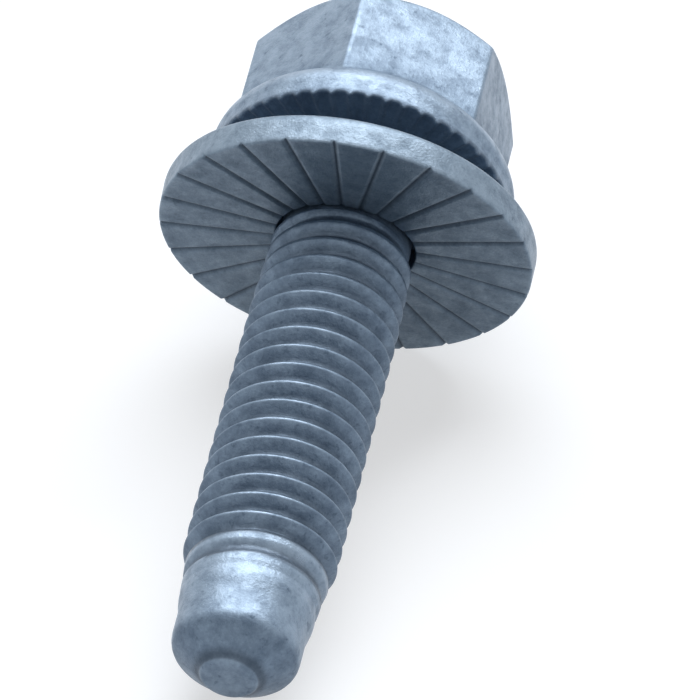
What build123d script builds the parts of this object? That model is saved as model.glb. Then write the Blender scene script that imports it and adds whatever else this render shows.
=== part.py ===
from build123d import *
import math
import os

# Hexagon flange screw with a loose grooved washer that the rolled thread keeps on the neck.
# Millimetres. Each piece is drawn upright, then both are laid down as they rest on a floor.
# Upright frame: Z runs along the screw towards the head, with Z = 0 at the tips of the flange's teeth.
# Depths are counted from that level towards the point, heights towards the head.

# Hexagon
hex_across_flats = 13.0
hex_edge_radius = 0.3
hex_turn = 23.2
head_height = 9.05
head_top_diameter = 12.2
head_chamfer_angle = 40.5

# Flange
flange_diameter = 16.5
flange_bearing_diameter = 16.2
flange_rim_height = 1.8
flange_cone_slope = 0.87
flange_rim_round = 0.5

# Teeth and recess under the flange
tooth_count = 52
tooth_gap_width = 0.6
tooth_gap_depth = 0.3
tooth_inner_diameter = 11.2
tooth_turn = 3.1
recess_diameter = 10.6
recess_depth = 0.6
recess_wall_slant = 0.4

# Neck
neck_diameter = 6.9

# Rolled thread
thread_pitch = 1.25
thread_major_diameter = 7.9
thread_root_diameter = 6.6
thread_crest_width = 0.2
thread_first_diameter = 7.6
thread_rise_length = 0.3
thread_full_depth = 9.25
thread_end_depth = 25.25
thread_turn = 77.9

# Lower turns before the pilot
lead_diameter = 7.24
lead_depth = 26.35
lead_end_diameter = 7.0
lead_end_depth = 27.65
lead_root_diameter = 6.82
fade_root_diameter = 7.2

# Pilot and point
pilot_shoulder_diameter = 6.94
pilot_shoulder_depth = 28.35
pilot_diameter = 6.6
pilot_depth = 29.45
pilot_end_depth = 31.35
pilot_end_round = 0.45
point_diameter = 2.88
point_depth = 32.8

# Washer
washer_diameter = 19.95
washer_rim_flare = 0.04
washer_thickness = 1.75
washer_dish = 0.13
washer_top_chamfer = 0.3
groove_count = 24
groove_width = 0.42
groove_depth = 0.2
groove_turn = 1.1

# Fit of the washer between the flange and the first thread turn
washer_tilt = 9.6
washer_bore_slack = 0.6
washer_flange_gap = 0.09
washer_thread_gap = 0.05

washer_radius = washer_diameter / 2
bore_radius = (neck_diameter + washer_bore_slack) / 2
half_thickness = washer_thickness / 2
lean = math.radians(washer_tilt)

# The washer's middle hangs on the screw's axis, as low as its dished top needs to clear the teeth.
flange_reach = flange_bearing_diameter / 2
dish_at_flange = washer_dish * (washer_radius - flange_reach) / (washer_radius - bore_radius)
top_at_flange = flange_reach * math.tan(lean) + (half_thickness + dish_at_flange) / math.cos(lean)
washer_depth = top_at_flange + washer_flange_gap

# The thread starts below the edge of the bore that leans closest to it.
bore_edge = (half_thickness - washer_dish) * math.cos(lean) + bore_radius * math.sin(lean)
neck_length = washer_depth + bore_edge + washer_thread_gap


def at(radius, height):
    """Point of an outline in the plane that is turned about the Z axis."""
    return (radius, 0, height)


def turned(points, rounds=()):
    """Solid turned about the Z axis from an outline, with the listed corners rounded."""
    outline = make_face(Polyline(*points, close=True))
    for corner, radius in rounds:
        vertex = outline.vertices().sort_by_distance(corner)[0]
        outline = fillet(vertex, radius)
    return revolve(outline, Axis.Z)


def vee_bar(length, width, depth):
    """Bar along X whose upward ridge cuts a groove of this width and depth into the face at Z = 0."""
    half = width / 2
    overshoot = 1.0
    flare = half * (depth + overshoot) / depth
    ridge = [(0, 0, depth), (0, flare, -overshoot), (0, -flare, -overshoot)]
    outline = make_face(Polyline(*ridge, close=True))
    return extrude(outline, length, dir=(1, 0, 0))


def around(shape, count, first_angle):
    """Copies of a shape, evenly spaced about the Z axis."""
    return [Rot(Z=first_angle + 360 / count * index) * shape for index in range(count)]


def make_hexagon():
    prism = extrude(RegularPolygon(hex_across_flats / 2, 6, major_radius=False), head_height)
    prism = fillet(prism.edges().filter_by(Axis.Z), hex_edge_radius)
    top_radius = head_top_diameter / 2
    reach = hex_across_flats
    drop = (reach - top_radius) * math.tan(math.radians(head_chamfer_angle))
    hood = turned([
        at(0, head_height - drop),
        at(reach, head_height - drop),
        at(top_radius, head_height),
        at(0, head_height),
    ])
    return Rot(Z=hex_turn) * (prism & hood)


def make_flange():
    rim_radius = flange_diameter / 2
    recess_radius = recess_diameter / 2
    cone_radius = hex_across_flats / 2 - 1
    cone_top = flange_rim_height + (rim_radius - cone_radius) * flange_cone_slope
    rim_corner = at(rim_radius, flange_rim_height)
    flange = turned(
        [
            at(0, recess_depth),
            at(recess_radius - recess_wall_slant, recess_depth),
            at(recess_radius, 0),
            at(flange_bearing_diameter / 2, 0),
            rim_corner,
            at(cone_radius, cone_top),
            at(0, cone_top),
        ],
        [(rim_corner, flange_rim_round)],
    )
    deepening = math.degrees(math.atan2(tooth_gap_depth, rim_radius - tooth_inner_diameter / 2))
    tooth_gap = Pos(Z=-tooth_gap_depth) * vee_bar(rim_radius, tooth_gap_width, tooth_gap_depth)
    tooth_gap = Pos(X=tooth_inner_diameter / 2) * Rot(Y=-deepening) * tooth_gap
    return flange - around(tooth_gap, tooth_count, tooth_turn)


def make_shank_blank():
    major_radius = thread_major_diameter / 2
    pilot_corner = at(pilot_diameter / 2, -pilot_end_depth)
    return turned(
        [
            at(0, recess_depth),
            at(neck_diameter / 2, recess_depth),
            at(neck_diameter / 2, -neck_length),
            at(thread_first_diameter / 2, -neck_length - thread_rise_length),
            at(major_radius, -thread_full_depth),
            at(major_radius, -thread_end_depth),
            at(lead_diameter / 2, -lead_depth),
            at(lead_end_diameter / 2, -lead_end_depth),
            at(pilot_shoulder_diameter / 2, -pilot_shoulder_depth),
            at(pilot_diameter / 2, -pilot_depth),
            pilot_corner,
            at(point_diameter / 2, -point_depth),
            at(0, -point_depth),
        ],
        [(pilot_corner, pilot_end_round)],
    )


def thread_groove(start_height, start_root, end_root):
    """One rising turn of the thread's groove, with the radius of its root at the start and the end."""
    spread = (thread_pitch - thread_crest_width) / (thread_major_diameter - thread_root_diameter)
    outer_radius = thread_major_diameter / 2 + 0.2
    start_half = (outer_radius - start_root) * spread
    end_half = (outer_radius - end_root) * spread

    def helix(start_radius, end_radius, start_offset, end_offset):
        rise = thread_pitch + end_offset - start_offset
        slant = math.degrees(math.atan2(end_radius - start_radius, rise))
        centre = (0, 0, start_height + start_offset)
        return Edge.make_helix(rise, rise, start_radius, center=centre, angle=slant)

    corners = [
        helix(outer_radius, outer_radius, -start_half, -end_half),
        helix(outer_radius, outer_radius, start_half, end_half),
        helix(start_root, end_root, 0, 0),
    ]
    next_corners = corners[1:] + corners[:1]
    sides = [Face.make_surface_from_curves(a, b) for a, b in zip(corners, next_corners)]
    ends = [Face(Wire.make_polygon([edge @ end for edge in corners], close=True)) for end in (0, 1)]
    return Solid(Shell(sides + ends))


def make_shank():
    """Turned blank with the groove cut turn by turn, fading out at the neck and at the lower turns."""
    groove_phase = thread_pitch * (0.5 + thread_turn / 360)
    lowest = groove_phase - thread_pitch * math.ceil((lead_end_depth + groove_phase) / thread_pitch)
    turns = math.ceil((-neck_length - lowest) / thread_pitch)
    full_root = thread_root_diameter / 2
    fade_root = fade_root_diameter / 2
    roots = [fade_root, lead_root_diameter / 2] + [full_root] * (turns - 2) + [fade_root]
    shank = make_shank_blank()
    for turn in range(turns):
        start_height = lowest + thread_pitch * turn
        shank = shank - thread_groove(start_height, roots[turn], roots[turn + 1])
    return shank


def make_washer():
    rim_radius = washer_radius + washer_rim_flare
    ring = turned(
        [
            at(bore_radius, washer_dish - half_thickness),
            at(washer_radius, -half_thickness),
            at(rim_radius, half_thickness - washer_top_chamfer),
            at(rim_radius - washer_top_chamfer, half_thickness),
            at(bore_radius, half_thickness + washer_dish),
        ]
    )
    dish_angle = math.degrees(math.atan2(washer_dish, washer_radius - bore_radius))
    groove = Pos(X=-1) * vee_bar(washer_diameter, groove_width, groove_depth)
    groove = Rot(Y=dish_angle) * groove
    groove = Pos(X=bore_radius, Z=washer_dish - half_thickness) * groove
    return ring - around(groove, groove_count, groove_turn)


def rest_slope():
    """Slope of the screw's axis when the washer's lower edge and the pilot's end touch the floor."""
    pilot_reach = pilot_diameter / 2 - pilot_end_round
    cone_angle = math.atan2((pilot_diameter - point_diameter) / 2, point_depth - pilot_end_depth)
    pilot_side = pilot_end_depth - pilot_end_round * math.tan(cone_angle / 2)
    along = washer_radius * math.sin(lean) - half_thickness * math.cos(lean) + pilot_side - washer_depth
    across = pilot_reach - washer_radius * math.cos(lean) - half_thickness * math.sin(lean)
    drop = math.asin(-pilot_end_round / math.hypot(along, across))
    return math.degrees(drop - math.atan2(across, along))


screw = make_hexagon() + make_flange() + make_shank()
washer = Pos(Z=-washer_depth) * Rot(X=washer_tilt) * make_washer()

lay_down = Rot(X=rest_slope() - 90)
box = (lay_down * Compound([screw, washer])).bounding_box()
place = Pos(Y=-box.center().Y, Z=-box.min.Z) * lay_down

os.makedirs("parts", exist_ok=True)
export_step(place * screw, "parts/screw.step")
export_step(place * washer, "parts/washer.step")
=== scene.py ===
import bisect
import bmesh
import bpy
import math
from mathutils import Matrix, Vector


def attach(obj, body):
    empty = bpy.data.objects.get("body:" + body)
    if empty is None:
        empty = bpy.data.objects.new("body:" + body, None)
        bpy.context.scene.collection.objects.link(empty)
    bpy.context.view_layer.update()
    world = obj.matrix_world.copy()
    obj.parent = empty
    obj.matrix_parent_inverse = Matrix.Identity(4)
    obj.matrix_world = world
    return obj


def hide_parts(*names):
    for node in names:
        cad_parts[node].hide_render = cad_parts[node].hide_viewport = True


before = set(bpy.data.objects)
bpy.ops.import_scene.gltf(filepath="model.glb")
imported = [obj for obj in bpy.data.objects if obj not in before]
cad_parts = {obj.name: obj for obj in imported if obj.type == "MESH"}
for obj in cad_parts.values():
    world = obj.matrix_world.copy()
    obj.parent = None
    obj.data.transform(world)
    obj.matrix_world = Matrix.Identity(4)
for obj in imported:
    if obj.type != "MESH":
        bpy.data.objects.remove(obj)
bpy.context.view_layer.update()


# Camera
# A long lens looks down on the near side of the screw, which points at it, as in the photograph.
# The aim, the picture's shift off it and the distance are in millimetres.
camera_azimuth = math.radians(11.62)
camera_elevation = math.radians(36.27)
aim = Vector((0, 7.900, 9.370))
aim_right, aim_up, aim_distance = -0.2758, 5.503, 367.7
lens_length, sensor_width = 360, 36

back = Vector((
    math.sin(camera_azimuth) * math.cos(camera_elevation),
    -math.cos(camera_azimuth) * math.cos(camera_elevation),
    math.sin(camera_elevation),
))
right = Vector((math.cos(camera_azimuth), math.sin(camera_azimuth), 0))
lens = bpy.data.cameras.new("long_lens")
lens.lens = lens_length
lens.sensor_width = sensor_width
lens.clip_start, lens.clip_end = 0.01, 50
camera = bpy.data.objects.new("camera", lens)
bpy.context.scene.collection.objects.link(camera)
camera.location = (aim - right * aim_right - back.cross(right) * aim_up + back * aim_distance) / 1000
camera.rotation_mode = "QUATERNION"
camera.rotation_quaternion = (-back).to_track_quat("-Z", "Y")
bpy.context.scene.camera = camera
bpy.context.scene.view_settings.view_transform = "Standard"


# Floor and light
# A matt white table under one wide soft lamp overhead and a small one beside it, with a weak even
# light from all round. Metres.
floor_half_side = 6.0
floor_colour = "#adb1b6"
floor_glow = 0.62
floor_grain_size = 0.0011
even_light_colour, even_light_strength = "#e6edf6", 0.10
lamp_aim = Vector((0, 0, 0.01))


def linear(hex_colour):
    """Linear red, green, blue and alpha of an sRGB hex colour."""
    parts = [int(hex_colour[i:i + 2], 16) / 255 for i in (1, 3, 5)]
    return [c / 12.92 if c <= 0.04045 else ((c + 0.055) / 1.055) ** 2.4 for c in parts] + [1.0]


def add(tree, kind, inputs=None, **settings):
    """Adds a shader node with its settings and with its inputs, which are values or links."""
    made = tree.nodes.new(kind)
    for name, value in settings.items():
        setattr(made, name, value)
    for name, value in (inputs or {}).items():
        if isinstance(value, bpy.types.NodeSocket):
            tree.links.new(value, made.inputs[name])
        else:
            made.inputs[name].default_value = value
    return made


def empty_material(name):
    """A new material and its node tree, with nothing in it yet."""
    material = bpy.data.materials.new(name)
    material.use_nodes = True
    material.node_tree.nodes.clear()
    return material, material.node_tree


def seen_directly(tree):
    """1 where the camera, a mirror or a glass sees the surface, and 0 where it only lights other things."""
    path = add(tree, "ShaderNodeLightPath").outputs
    sight = add(tree, "ShaderNodeMath", {0: path["Is Camera Ray"], 1: path["Is Glossy Ray"]}, operation="ADD")
    return add(
        tree, "ShaderNodeMath", {0: sight.outputs[0], 1: path["Is Transmission Ray"]},
        operation="ADD", use_clamp=True,
    ).outputs[0]


# Matt laminate, pressed: a fine even tooth, and no shine. It also glows a little to the eye, so that
# it reads as white.
table_material, tree = empty_material("matt_white_laminate")
place = add(tree, "ShaderNodeTexCoord")
tooth = add(tree, "ShaderNodeTexNoise", {
    "Vector": place.outputs["Object"], "Scale": 1 / floor_grain_size, "Detail": 3.0,
})
bump = add(tree, "ShaderNodeBump", {"Height": tooth.outputs[0], "Strength": 0.05, "Distance": 0.0001})
matt = add(tree, "ShaderNodeBsdfPrincipled", {
    "Base Color": linear(floor_colour), "Roughness": 0.9, "Specular IOR Level": 0.2, "Normal": bump.outputs[0],
})
glow = add(tree, "ShaderNodeEmission", {"Color": linear("#ffffff"), "Strength": floor_glow})
both = add(tree, "ShaderNodeAddShader", {0: matt.outputs[0], 1: glow.outputs[0]})
seen = add(tree, "ShaderNodeMixShader", {0: seen_directly(tree), 1: matt.outputs[0], 2: both.outputs[0]})
add(tree, "ShaderNodeOutputMaterial", {"Surface": seen.outputs[0]})

bm = bmesh.new()
bmesh.ops.create_grid(bm, x_segments=1, y_segments=1, size=floor_half_side)
table_mesh = bpy.data.meshes.new("table")
bm.to_mesh(table_mesh)
bm.free()
table_mesh.materials.append(table_material)
table = bpy.data.objects.new("table", table_mesh)
bpy.context.scene.collection.objects.link(table)

world = bpy.data.worlds.new("room")
world.use_nodes = True
bpy.context.scene.world = world
tree = world.node_tree
tree.nodes.clear()
even_light = add(tree, "ShaderNodeBackground", {
    "Color": linear(even_light_colour), "Strength": even_light_strength,
})
white = add(tree, "ShaderNodeBackground", {"Color": linear("#ffffff"), "Strength": 1.0})
seen = add(tree, "ShaderNodeMixShader", {0: seen_directly(tree), 1: even_light.outputs[0], 2: white.outputs[0]})
add(tree, "ShaderNodeOutputWorld", {"Surface": seen.outputs[0]})


def lamp(name, place, size, power):
    """A round soft lamp that is turned to the object."""
    light = bpy.data.lights.new(name, "AREA")
    light.shape = "DISK"
    light.size = size
    light.energy = power
    holder = bpy.data.objects.new(name, light)
    bpy.context.scene.collection.objects.link(holder)
    holder.location = place
    holder.rotation_mode = "QUATERNION"
    holder.rotation_quaternion = (lamp_aim - Vector(place)).to_track_quat("-Z", "Y")


lamp("overhead_softbox", (-0.07, 0.28, 0.60), 0.76, 5.4)
lamp("small_softbox", (0.30, 0.34, 0.53), 0.16, 0.7)


# Screw
# One cold-forged and rolled piece of steel with a zinc flake coat: hexagon, coned flange with small
# teeth below its rim, thin neck, coarse rolled thread, smooth pilot and short cone. It is drawn
# upright in millimetres, with height 0 at the teeth's tips, and then laid down with the point low.
rest_slope = 12.7221
rest_forward, rest_up = 11.070356, 10.085549
lie = Matrix.Translation((0, rest_forward, rest_up)) @ Matrix.Rotation(math.radians(rest_slope - 90), 4, "X")

pitch = 1.25
groove_height = 0.8955
turn_steps = 144
shank_low, shank_high = -28.5, -3.5
limit_softness = 0.05
# The thread's outline from the middle of a groove to the next one: height over the groove, and radius.
thread_outline = [
    (0.0, 3.30), (0.09, 3.32), (0.19, 3.42), (0.36, 3.68), (0.52, 3.885), (0.58, 3.94),
    (0.625, 3.95), (0.67, 3.94), (0.73, 3.885), (0.89, 3.66), (1.06, 3.41), (1.16, 3.32),
]
# Largest and smallest radius along the shank, by depth below the flange.
outer_limit = [
    (0.0, 3.45), (3.80, 3.45), (4.12, 3.79), (9.25, 3.95), (25.20, 3.95), (25.90, 3.69), (26.60, 3.60),
    (27.60, 3.52), (28.35, 3.47), (28.9, 3.40), (29.45, 3.30), (31.10, 3.30),
]
inner_limit = [
    (3.80, 3.45), (4.3, 3.40), (5.4, 3.30), (25.7, 3.30), (26.9, 3.37), (27.6, 3.42), (28.3, 3.46),
    (28.6, 3.46),
]


def along(curve, where):
    """Value of a table of points at a place, in straight lines between them and level past its ends."""
    places = [point[0] for point in curve]
    index = min(max(bisect.bisect_right(places, where), 1), len(curve) - 1)
    (x0, y0), (x1, y1) = curve[index - 1], curve[index]
    share = min(max((where - x0) / (x1 - x0), 0), 1)
    return y0 + (y1 - y0) * share


def soft_min(a, b, softness):
    """The smaller of two values, with the corner between them rounded."""
    gap = max(softness - abs(a - b), 0) / softness
    return min(a, b) - gap * gap * softness / 4


bm = bmesh.new()
first_turn = math.floor((shank_low - groove_height) / pitch) - 1
last_turn = math.ceil((shank_high - groove_height) / pitch)
line = [
    bm.verts.new((radius, 0, groove_height + pitch * turn + height))
    for turn in range(first_turn, last_turn + 1)
    for height, radius in thread_outline
]
edges = [bm.edges.new(pair) for pair in zip(line, line[1:])]
bmesh.ops.spin(
    bm, geom=line + edges, cent=(0, 0, 0), axis=(0, 0, 1), angle=2 * math.pi, steps=turn_steps,
    dvec=(0, 0, pitch / turn_steps), use_merge=False, use_normal_flip=False, use_duplicate=False,
)
bmesh.ops.remove_doubles(bm, verts=bm.verts, dist=1e-4)
for height, keep_above in ((shank_low, True), (shank_high, False)):
    bmesh.ops.bisect_plane(
        bm, geom=bm.verts[:] + bm.edges[:] + bm.faces[:], dist=1e-5, plane_co=(0, 0, height),
        plane_no=(0, 0, 1), clear_inner=keep_above, clear_outer=not keep_above,
    )
for vertex in bm.verts:
    depth = -vertex.co.z
    radius = math.hypot(vertex.co.x, vertex.co.y)
    target = soft_min(radius, along(outer_limit, depth), limit_softness)
    target = -soft_min(-target, -along(inner_limit, depth), limit_softness)
    vertex.co.x *= target / radius
    vertex.co.y *= target / radius


def ring_at(bm, height):
    """The open edges that lie at a height."""
    return [e for e in bm.edges if e.is_boundary and all(abs(v.co.z - height) < 1e-3 for v in e.verts)]


def draw_on(bm, ring, steps):
    """Extrudes an open ring to each radius and height in turn, and closes it at the axis."""
    for radius, height in steps:
        grown = bmesh.ops.extrude_edge_only(bm, edges=ring)["geom"]
        ring = [e for e in grown if isinstance(e, bmesh.types.BMEdge)]
        for vertex in {v for e in ring for v in e.verts}:
            reach = math.hypot(vertex.co.x, vertex.co.y)
            vertex.co = (vertex.co.x * radius / reach, vertex.co.y * radius / reach, height)
    rim = list({v for e in ring for v in e.verts})
    bmesh.ops.pointmerge(bm, verts=rim, merge_co=(0, 0, steps[-1][1]))


# Radius and height of the rings over the pilot, the cone and the small raised end.
point_rings = [
    (along(outer_limit, 28.9), -28.9), (3.335, -29.2), (3.30, -29.5), (3.30, -30.2), (3.295, -30.8),
    (3.275, -31.0), (3.23, -31.16), (3.14, -31.33), (3.02, -31.46), (2.5, -31.86), (2.05, -32.21),
    (1.72, -32.46), (1.61, -32.53), (1.54, -32.60), (1.48, -32.70), (1.40, -32.77), (1.28, -32.80),
    (0.7, -32.80), (0.3, -32.80),
]
draw_on(bm, ring_at(bm, shank_low), point_rings)
shank = bm

# Hexagon and flange, as one skin round the axis. Its rows follow the real edges.
flat_radius = 6.5
corner_round = 0.3
hexagon_turn = 23.2
head_height = 9.05
top_radius = 6.1
top_rows = (5.0, 3.0, 1.2)
hood_slope = math.tan(math.radians(40.5))
rim_radius = 8.25
bearing_radius = 8.1
rim_height = 1.8
rim_round = 0.72
cone_slope = 0.87
cone_fillet = 0.22
hood_round = 0.13
top_round = 0.12
tooth_count = 52
tooth_turn = 3.1
tooth_inner_radius = 5.6
tooth_depth = 0.22
tooth_rows = (5.6, 6.1, 6.6, 7.1, 7.6, 7.95, 8.06)
# Share of the depth from the middle of a gap to the middle of a tooth, column by column.
gap_section = (1.0, 1.0, 0.94, 0.62, 0.06)
# The recess round the neck, from the neck's root outwards to the bearing ring.
recess_section = [
    (3.45, 0.40), (3.47, 0.50), (3.54, 0.57), (3.65, 0.60), (4.75, 0.60),
    (4.88, 0.58), (4.93, 0.50), (5.20, 0.08), (5.26, 0.02), (5.35, 0.0),
]
# Rows that round the rim's lower edge: radius, and height over the last row of the teeth.
rim_edge = [(8.12, 0.05), (8.145, 0.12)]
rim_side_heights = (0.45, 0.7, 0.95)
columns_per_tooth = 9
columns = tooth_count * columns_per_tooth
sector = columns // 6
corner_column = round((hexagon_turn - tooth_turn) / 360 * columns)
# How strongly the columns gather at the hexagon's corners.
gathering = 1.8


def hexagon_angle(column):
    """Angle of a column on the hexagon, with the columns gathered at its corners."""
    side = round((column - corner_column) / sector)
    share = 2 * (column - corner_column - side * sector) / sector
    return math.radians(hexagon_turn + 60 * side + 30 * math.copysign(abs(share) ** gathering, share))


def hexagon_radius(angle):
    """Radius of the hexagon with its small corner rounds."""
    off_corner = abs((math.degrees(angle) - hexagon_turn + 30) % 60 - 30)
    centre = (flat_radius - corner_round) / math.cos(math.radians(30))
    flat_end = (flat_radius - corner_round) * math.tan(math.radians(30))
    touch = 30 - math.degrees(math.atan(flat_end / flat_radius))
    if off_corner > touch:
        return flat_radius / math.cos(math.radians(30 - off_corner))
    swing = math.radians(off_corner)
    return centre * math.cos(swing) + math.sqrt(corner_round ** 2 - (centre * math.sin(swing)) ** 2)


def rounded(before, corner, after, count=4):
    """Points that round off a corner."""
    points = []
    for step in range(count):
        t = step / (count - 1)
        points.append(tuple(
            (1 - t) ** 2 * a + 2 * t * (1 - t) * b + t * t * c for a, b, c in zip(before, corner, after)
        ))
    return points


def cone_height(radius):
    """Height of the flange's cone."""
    return rim_height + (rim_radius - radius) * cone_slope


def hood_height(radius):
    """Height of the chamfer that cuts the hexagon's corners at the top."""
    return head_height - (radius - top_radius) * hood_slope


def flange_rows(column):
    """Radius and height of each row from the recess over the teeth and the rim to the start of the cone."""
    from_gap = abs((column + 4) % columns_per_tooth - 4)
    rows = list(recess_section)
    for radius in tooth_rows:
        depth = tooth_depth * max(radius - tooth_inner_radius, 0) / (rim_radius - tooth_inner_radius)
        rows.append((radius, depth * gap_section[from_gap]))
    lift = rows[-1][1]
    rows += [(radius, lift + height) for radius, height in rim_edge]
    lean = (rim_radius - bearing_radius) / rim_height
    rows += [(bearing_radius + lean * height, height) for height in rim_side_heights]
    reach = rim_round / math.hypot(1, cone_slope)
    return rows + rounded(
        (rim_radius - 0.03, rim_height - rim_round), (rim_radius, rim_height),
        (rim_radius - reach, rim_height + reach * cone_slope), 8,
    )


def hexagon_rows(wall):
    """Radius and height of each row from the cone up the hexagon's wall, over the chamfer and the top."""
    base = cone_height(wall) + cone_fillet
    shoulder = hood_height(wall)
    rows = rounded(
        (wall + cone_fillet, cone_height(wall + cone_fillet)), (wall, cone_height(wall)), (wall, base), 5,
    )
    rows += [(wall, base + (shoulder - hood_round - base) * share) for share in (0.33, 0.66)]
    rows += rounded(
        (wall, shoulder - hood_round), (wall, shoulder), (wall - hood_round, shoulder + hood_round * hood_slope),
    )
    start, end = wall - hood_round, top_radius + top_round
    for share in (0.4, 0.75):
        radius = start + (end - start) * share
        rows.append((radius, hood_height(radius)))
    rows += rounded((end, hood_height(end)), (top_radius, head_height), (top_radius - top_round, head_height))
    return rows + [(radius, head_height) for radius in top_rows]


def head_line(column):
    """Angle, radius and height of each row of one column, from the neck's root to the middle of the top."""
    even = math.radians(tooth_turn) + 2 * math.pi * column / columns
    turned = hexagon_angle(column)
    turned += 2 * math.pi * round((even - turned) / (2 * math.pi))
    wall = hexagon_radius(turned)
    rows = [(even, radius, height) for radius, height in flange_rows(column)]
    start, end = rows[-1][1], wall + cone_fillet
    for share in (0.25, 0.5, 0.75):
        radius = start + (end - start) * share
        rows.append((even + (turned - even) * share, radius, cone_height(radius)))
    return rows + [(turned, radius, height) for radius, height in hexagon_rows(wall)]


def turned_grid(line_of, columns, closed):
    """A surface round the axis: its first column is spun, and then each column takes its own places."""
    bm = bmesh.new()
    rows = line_of(0)
    line = [bm.verts.new((radius, 0, height)) for _, radius, height in rows]
    following = line[1:] + line[:1] if closed else line[1:]
    edges = [bm.edges.new(pair) for pair in zip(line, following)]
    bmesh.ops.spin(
        bm, geom=line + edges, cent=(0, 0, 0), axis=(0, 0, 1), angle=2 * math.pi, steps=columns,
        dvec=(0, 0, 0), use_merge=True, use_normal_flip=False, use_duplicate=False,
    )
    bm.verts.ensure_lookup_table()
    if len(bm.verts) != len(rows) * columns:
        raise ValueError("the grid has %d points, not %d" % (len(bm.verts), len(rows) * columns))
    for column in range(columns):
        for row, (angle, radius, height) in enumerate(line_of(column)):
            place = (radius * math.cos(angle), radius * math.sin(angle), height)
            bm.verts[column * len(rows) + row].co = place
    return bm


bm = turned_grid(head_line, columns, closed=False)
rim = {v for e in ring_at(bm, head_height) for v in e.verts}
bmesh.ops.pointmerge(bm, verts=list(rim), merge_co=(0, 0, head_height))

# The neck and the recess are one surface, so the shank's open end is joined to the head's.
shank_part = bpy.data.meshes.new("shank_part")
shank.to_mesh(shank_part)
shank.free()
bm.from_mesh(shank_part)
bpy.data.meshes.remove(shank_part)
bmesh.ops.bridge_loops(bm, edges=ring_at(bm, shank_high) + ring_at(bm, recess_section[0][1]))
bmesh.ops.recalc_face_normals(bm, faces=bm.faces)
if any(e.is_boundary for e in bm.edges):
    raise ValueError("the screw's skin is open")

# How bright each height has rubbed: the lower turns and the rim most, then the pilot and the hexagon,
# and the cone least. Edges of the head have rubbed more. The side of the crests that lies up is paler too, as a
# painted highlight of the overhead lamp.
rubbed_by_height = [
    (-32.8, 0.45), (-32.66, 0.40), (-32.5, 0.0), (-32.1, 0.08), (-31.25, 0.08), (-31.12, 0.42),
    (-28.6, 0.52), (-27.9, 0.6), (-27.0, 0.45), (-26.5, 0.8), (-26.0, 0.7), (-25.6, 0.15), (-12.0, 0.12),
    (-4.0, 0.06), (-3.0, 0.0), (0.25, 0.0), (0.5, 0.5), (1.7, 0.62), (2.15, 0.12), (3.4, 0.15),
    (4.2, 0.52), (9.05, 0.55),
]
crest_by_radius = [(3.92, 0.0), (3.95, 1.0)]
painted_highlight_by_facing_up = [(0.80, 0.05), (0.98, 0.90)]
sharp_edge = 1.015
rubbed_on_edge = 0.2
# Painted shade darkens the hollows: the groove's root and its side towards the head, by height over the
# groove's middle, the underside of the flange, and the foot of the raised end.
painted_shade_in_groove = [
    (0.0, 0.8), (0.10, 0.6), (0.22, 0.1), (0.32, 0.0), (0.67, 0.0), (0.75, 0.6), (0.90, 1.0), (1.25, 0.8),
]
painted_shade_underside = 0.45
painted_shade_foot = 0.7
groove_low, crest_low, thread_high = -27.4, -26.0, -4.0
crest_radius = 3.94
underside_low, underside_high = -3.0, 0.35
foot_top = -32.3
foot_inside, foot_outside = 1.5, 1.9

wear_and_highlight = bm.verts.layers.float.new("wear_and_highlight")
painted_shade = bm.verts.layers.float.new("painted_shade")
for vertex in bm.verts:
    radius = math.hypot(vertex.co.x, vertex.co.y)
    height = vertex.co.z
    wear_and_highlight_share = along(rubbed_by_height, height)
    # Painted shade in the thread's grooves, on the flange's underside and at the foot of the raised end.
    if groove_low < height < thread_high and radius < crest_radius:
        rise = pitch * math.atan2(vertex.co.y, vertex.co.x) / (2 * math.pi)
        vertex[painted_shade] = along(painted_shade_in_groove, (height - groove_height - rise) % pitch)
    # Painted highlight: the crests are paler on their side that faces up, towards the overhead lamp.
    if crest_low < height < thread_high:
        wear_and_highlight_share += along(crest_by_radius, radius) * along(painted_highlight_by_facing_up, -vertex.co.y / radius)
    elif underside_low < height < underside_high:
        vertex[painted_shade] = painted_shade_underside
    elif height < foot_top and foot_inside < radius < foot_outside:
        vertex[painted_shade] = painted_shade_foot
    elif height > 0.5 and vertex.calc_shell_factor() > sharp_edge:
        wear_and_highlight_share += rubbed_on_edge
    vertex[wear_and_highlight] = wear_and_highlight_share
screw_mesh = bpy.data.meshes.new("screw")
bm.to_mesh(screw_mesh)
bm.free()


# Zinc flake coat on steel, dipped, spun and baked: a dull silver grey-blue with soft cloudy patches, a
# fine grain, a few darker specks, paler rubbed places with a painted highlight on the crests, and painted
# shade in the hollows. The real flakes are about 0.02 mm across, too fine to show, so the grain is drawn
# seven times as coarse.
cloud_mm, grain_mm, speck_mm = 1.1, 0.14, 0.42
# Colour and share of the painted shade that darkens the hollows.
painted_shade_colour = "#273443"
painted_shade_strength = 0.74
metallic = 0.45
bump_height = 0.00004


def stretched(tree, value, low, high, to_low, to_high):
    """A value moved from one range to another and kept inside it."""
    return add(tree, "ShaderNodeMapRange", {
        "Value": value, "From Min": low, "From Max": high, "To Min": to_low, "To Max": to_high,
    }).outputs[0]


def blended(tree, share, colour, other):
    """A colour turned towards another one by a share."""
    return add(tree, "ShaderNodeMix", {0: share, 6: colour, 7: other}, data_type="RGBA").outputs[2]


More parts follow.
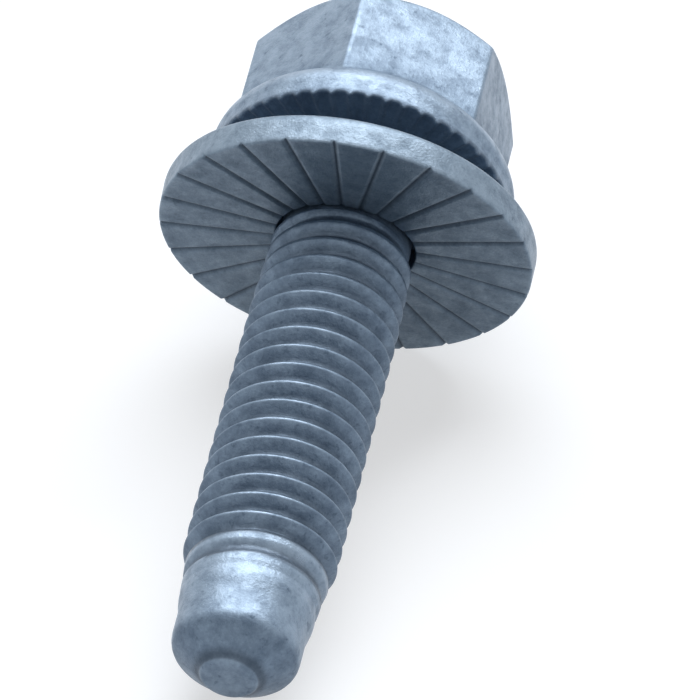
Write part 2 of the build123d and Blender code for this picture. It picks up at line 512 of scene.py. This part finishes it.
def zinc_flake_coat(name, dark, body, pale, bright, offset, specks):
    """The coat in its four tones, with its pattern shifted by millimetres and its specks as strong as given."""
    material, tree = empty_material(name)
    place = add(tree, "ShaderNodeTexCoord")
    in_mm = add(tree, "ShaderNodeMapping", {
        "Vector": place.outputs["Object"], "Location": offset, "Scale": (1000, 1000, 1000),
    })

    def noise(size, detail, roughness):
        return add(tree, "ShaderNodeTexNoise", {
            "Vector": in_mm.outputs[0], "Scale": 1 / size, "Detail": detail, "Roughness": roughness,
        }).outputs[0]

    cloud = noise(cloud_mm, 6.0, 0.68)
    grain = noise(grain_mm, 3.0, 0.7)
    speck = noise(speck_mm, 2.5, 0.6)
    wear_and_highlight_fac = add(tree, "ShaderNodeAttribute", attribute_name="wear_and_highlight").outputs["Fac"]
    painted_shade_fac = add(tree, "ShaderNodeAttribute", attribute_name="painted_shade").outputs["Fac"]

    # The untouched coat, from its clouds to its specks.
    cloudy = blended(tree, stretched(tree, cloud, 0.36, 0.66, 0.05, 0.95), linear(body), linear(pale))
    grained = blended(tree, stretched(tree, grain, 0.35, 0.7, 0.0, 0.30), cloudy, linear(dark))
    spot = stretched(tree, speck, 0.61, 0.72, 0.0, specks)
    flecked = blended(tree, spot, grained, linear(dark))

    # Rubbed places and the painted highlight on the crests come in patches and leave the specks out.
    # They are paler, and smoother too.
    patch = stretched(tree, cloud, 0.38, 0.60, 0.45, 1.0)
    wear_and_highlight_share = add(tree, "ShaderNodeMath", {0: wear_and_highlight_fac, 1: patch}, operation="MULTIPLY", use_clamp=True).outputs[0]
    bared_and_highlit = add(
        tree, "ShaderNodeMath", {0: spot, 1: -0.8, 2: wear_and_highlight_share}, operation="MULTIPLY_ADD", use_clamp=True,
    ).outputs[0]
    worn_and_highlit_coat = blended(tree, bared_and_highlit, flecked, linear(bright))
    matt = stretched(tree, cloud, 0.3, 0.7, 0.52, 0.42)
    rough = add(tree, "ShaderNodeMath", {0: bared_and_highlit, 1: -0.22, 2: matt}, operation="MULTIPLY_ADD")

    # Painted shade: the hollows are turned towards a dark blue-grey.
    shade = add(
        tree, "ShaderNodeMath", {0: painted_shade_fac, 1: painted_shade_strength}, operation="MULTIPLY", use_clamp=True,
    ).outputs[0]
    colour = blended(tree, shade, worn_and_highlit_coat, linear(painted_shade_colour))
    height = add(tree, "ShaderNodeMath", {0: cloud, 1: 3.0, 2: grain}, operation="MULTIPLY_ADD")
    bump = add(tree, "ShaderNodeBump", {"Height": height.outputs[0], "Strength": 0.6, "Distance": bump_height})
    coat = add(tree, "ShaderNodeBsdfPrincipled", {
        "Base Color": colour, "Metallic": metallic, "Roughness": rough.outputs[0], "Normal": bump.outputs[0],
    })
    add(tree, "ShaderNodeOutputMaterial", {"Surface": coat.outputs[0]})
    return material


def finish_piece(name, mesh, settle, material, body):
    """Puts a mesh that is drawn upright in millimetres where it lies, in metres, and hands it to the frame."""
    mesh.transform(Matrix.Scale(0.001, 4) @ settle)
    mesh.materials.append(material)
    mesh.polygons.foreach_set("use_smooth", [True] * len(mesh.polygons))
    piece = bpy.data.objects.new(name, mesh)
    bpy.context.scene.collection.objects.link(piece)
    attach(piece, body)
    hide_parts(body)


screw_coat = zinc_flake_coat(
    "zinc_flake_coat_on_screw", dark="#3f5265", body="#62768c", pale="#889db3", bright="#a6bacf",
    offset=(3.1, 1.7, 5.3), specks=0.30,
)
finish_piece("screw_skin", screw_mesh, lie, screw_coat, "screw")


# Washer
# One pressed steel ring with the same kind of coat, slightly dished, with 24 coined radial grooves on
# its bearing side. It was put on before the thread was rolled, so it stays on the neck, loose and tilted.
washer_depth = 2.38714
washer_tilt = 9.6
washer_lean = Matrix.Rotation(math.radians(washer_tilt), 4, "X")
washer_settle = lie @ Matrix.Translation((0, 0, -washer_depth)) @ washer_lean
outer_radius = 9.975
bore_radius = 3.75
half_thickness = 0.875
dish = 0.13
groove_count = 24
groove_turn = 1.1
groove_depth = 0.15
# Half of a groove's section, column by column: distance from its middle, and share of its depth.
groove_section = [(0.0, 1.0), (0.10, 0.52), (0.19, 0.10), (0.26, 0.0)]
columns_per_groove = 13
washer_columns = groove_count * columns_per_groove
# Rows of the ring's section, from the bore's lower edge over the bearing side and the rim to the top:
# radius with lift over the bearing side, radius alone, or radius with height.
bore_edge = [(3.75, 0.10), (3.78, 0.03), (3.85, 0.0)]
bearing_rows = (4.6, 5.6, 6.6, 7.6, 8.6, 9.4, 9.8)
rim_corner = [(9.90, 0.0), (9.955, 0.025), (9.98, 0.08)]
rim_side = [(9.985, -0.62), (9.99, -0.45), (10.0, -0.1), (10.005, 0.2)]
rim_top_corner = ((10.01, 0.38), (10.0, 0.875), (9.5, 0.877))
top_face_rows = (8.6, 7.4, 6.2, 5.0, 4.2)
bore_top_corner = ((3.95, 1.001), (3.75, 1.005), (3.75, 0.80))


def dish_rise(radius):
    """How much higher the dished ring lies at a radius than at its rim."""
    return dish * (outer_radius - radius) / (outer_radius - bore_radius)


def washer_line(column):
    """Angle, radius and height of each row of one column: bearing side, rim, top and bore."""
    steps = (column + 6) % columns_per_groove - 6
    off = abs(steps)
    in_groove = off < len(groove_section)
    sunk = groove_depth * groove_section[off][1] if in_groove else 0.0
    middle = math.radians(groove_turn) + 2 * math.pi * (column - steps) / washer_columns
    even = math.radians(groove_turn) + 2 * math.pi * column / washer_columns

    def angle_at(radius):
        """The groove keeps its width over its length, and the other columns share the rest."""
        if in_groove:
            return middle + math.copysign(groove_section[off][0] / radius, steps)
        edge = groove_section[-1][0] / radius
        share = (off - 3) / 3.5
        return middle + math.copysign(edge + (math.pi / groove_count - edge) * share, steps)

    rows = []
    for radius, lift in bore_edge + [(radius, 0.0) for radius in bearing_rows]:
        rows.append((angle_at(radius), radius, dish_rise(radius) - half_thickness + max(lift, sunk)))
    for radius, lift in rim_corner:
        rows.append((angle_at(radius), radius, max(lift, sunk + lift * 0.4) - half_thickness))
    for radius, height in rim_side:
        # The columns even out again above the grooves.
        share = along([(-0.62, 0.0), (-0.02, 1.0)], height)
        rows.append((angle_at(radius) + (even - angle_at(radius)) * share, radius, height))
    rows += [(even, r, z) for r, z in rounded(*rim_top_corner, 7)]
    rows += [(even, radius, half_thickness + dish_rise(radius)) for radius in top_face_rows]
    rows += [(even, r, z) for r, z in rounded(*bore_top_corner)]
    return rows + [(even, bore_radius, 0.3), (even, bore_radius, -0.3)]


bm = turned_grid(washer_line, washer_columns, closed=True)
bmesh.ops.recalc_face_normals(bm, faces=bm.faces)

# The rim has rubbed, but not its rounded top. The grooves get painted shade, darker the deeper they are.
rubbed_by_radius = [(9.4, 0.05), (9.9, 0.25), (9.98, 0.42)]
rubbed_below_top = [(0.35, 0.5), (0.6, 0.05)]
wear_and_highlight = bm.verts.layers.float.new("wear_and_highlight")
painted_shade = bm.verts.layers.float.new("painted_shade")
for vertex in bm.verts:
    radius = math.hypot(vertex.co.x, vertex.co.y)
    height = vertex.co.z
    vertex[wear_and_highlight] = min(along(rubbed_by_radius, radius), along(rubbed_below_top, height))
    if height < -0.3 and radius < 9.9:
        lift = height - dish_rise(radius) + half_thickness
        vertex[painted_shade] = along([(0.0, 0.0), (groove_depth, 1.0)], lift)
washer_mesh = bpy.data.meshes.new("washer_ring")
bm.to_mesh(washer_mesh)
bm.free()

washer_coat = zinc_flake_coat(
    "zinc_flake_coat_on_washer", dark="#405060", body="#64788b", pale="#8a9eb1", bright="#a6b9cc",
    offset=(7.9, 2.3, 0.4), specks=0.25,
)
finish_piece("washer_ring", washer_mesh, washer_settle, washer_coat, "washer")
